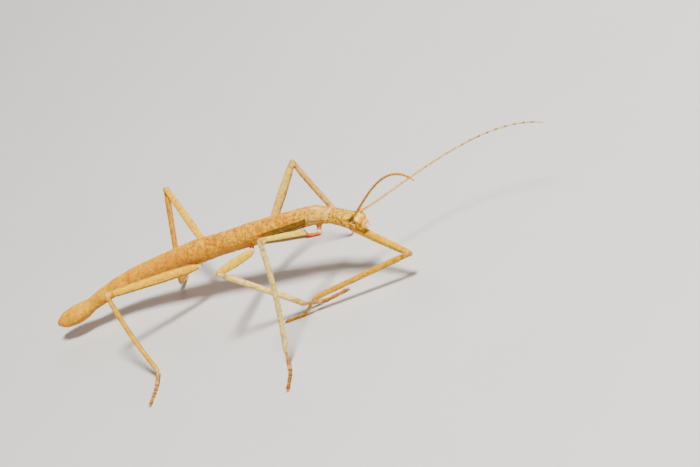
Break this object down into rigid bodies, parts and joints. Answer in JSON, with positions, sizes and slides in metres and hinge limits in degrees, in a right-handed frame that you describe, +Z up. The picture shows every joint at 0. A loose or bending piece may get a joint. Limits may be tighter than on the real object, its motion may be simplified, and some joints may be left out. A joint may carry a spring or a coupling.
{
  "type": "stick insect",
  "caption": "Life-size still model of a wingless adult stick insect, standing on its feet with angled thin legs, a bent tail and long feelers held forward.",
  "frame": {"origin": "centre of the bounding box in plan, on the plane that the feet stand on", "axes": "+X the way the head looks, along the body; +Y the insect's left; +Z up"},
  "size_m": [0.1078, 0.0434, 0.025],
  "materials": {
    "body_cuticle": "satin, finely granulated tan and orange-brown cuticle",
    "leg_cuticle": "satin, cream and tan cuticle, coral red at the base of the front femora",
    "feeler_cuticle": "satin, jointed tan and brown",
    "eye": "glossy, finely faceted golden brown"
  },
  "bodies": {
    "root": {"abdomen_10": "body_cuticle", "abdomen_2": "body_cuticle", "abdomen_3": "body_cuticle", "abdomen_4": "body_cuticle", "abdomen_5": "body_cuticle", "abdomen_6": "body_cuticle", "abdomen_7": "body_cuticle", "abdomen_8": "body_cuticle", "abdomen_9": "body_cuticle", "antenna_left_flagellum_1": "feeler_cuticle", "antenna_left_flagellum_2": "feeler_cuticle", "antenna_left_scape": "feeler_cuticle", "antenna_right_flagellum_1": "feeler_cuticle", "antenna_right_flagellum_2": "feeler_cuticle", "antenna_right_scape": "feeler_cuticle", "coxa_front_left": "leg_cuticle", "coxa_front_right": "leg_cuticle", "coxa_hind_left": "leg_cuticle", "coxa_hind_right": "leg_cuticle", "coxa_middle_left": "leg_cuticle", "coxa_middle_right": "leg_cuticle", "eye_left": "eye", "eye_right": "eye", "femur_front_left": "leg_cuticle", "femur_front_right": "leg_cuticle", "femur_hind_left": "leg_cuticle", "femur_hind_right": "leg_cuticle", "femur_middle_left": "leg_cuticle", "femur_middle_right": "leg_cuticle", "head": "body_cuticle", "median_segment": "body_cuticle", "mesothorax": "body_cuticle", "metathorax": "body_cuticle", "mouthparts": "body_cuticle", "prothorax": "body_cuticle", "tarsus_front_left": "leg_cuticle", "tarsus_front_right": "leg_cuticle", "tarsus_hind_left": "leg_cuticle", "tarsus_hind_right": "leg_cuticle", "tarsus_middle_left": "leg_cuticle", "tarsus_middle_right": "leg_cuticle", "tibia_front_left": "leg_cuticle", "tibia_front_right": "leg_cuticle", "tibia_hind_left": "leg_cuticle", "tibia_hind_right": "leg_cuticle", "tibia_middle_left": "leg_cuticle", "tibia_middle_right": "leg_cuticle"}
  },
  "joints": []
}
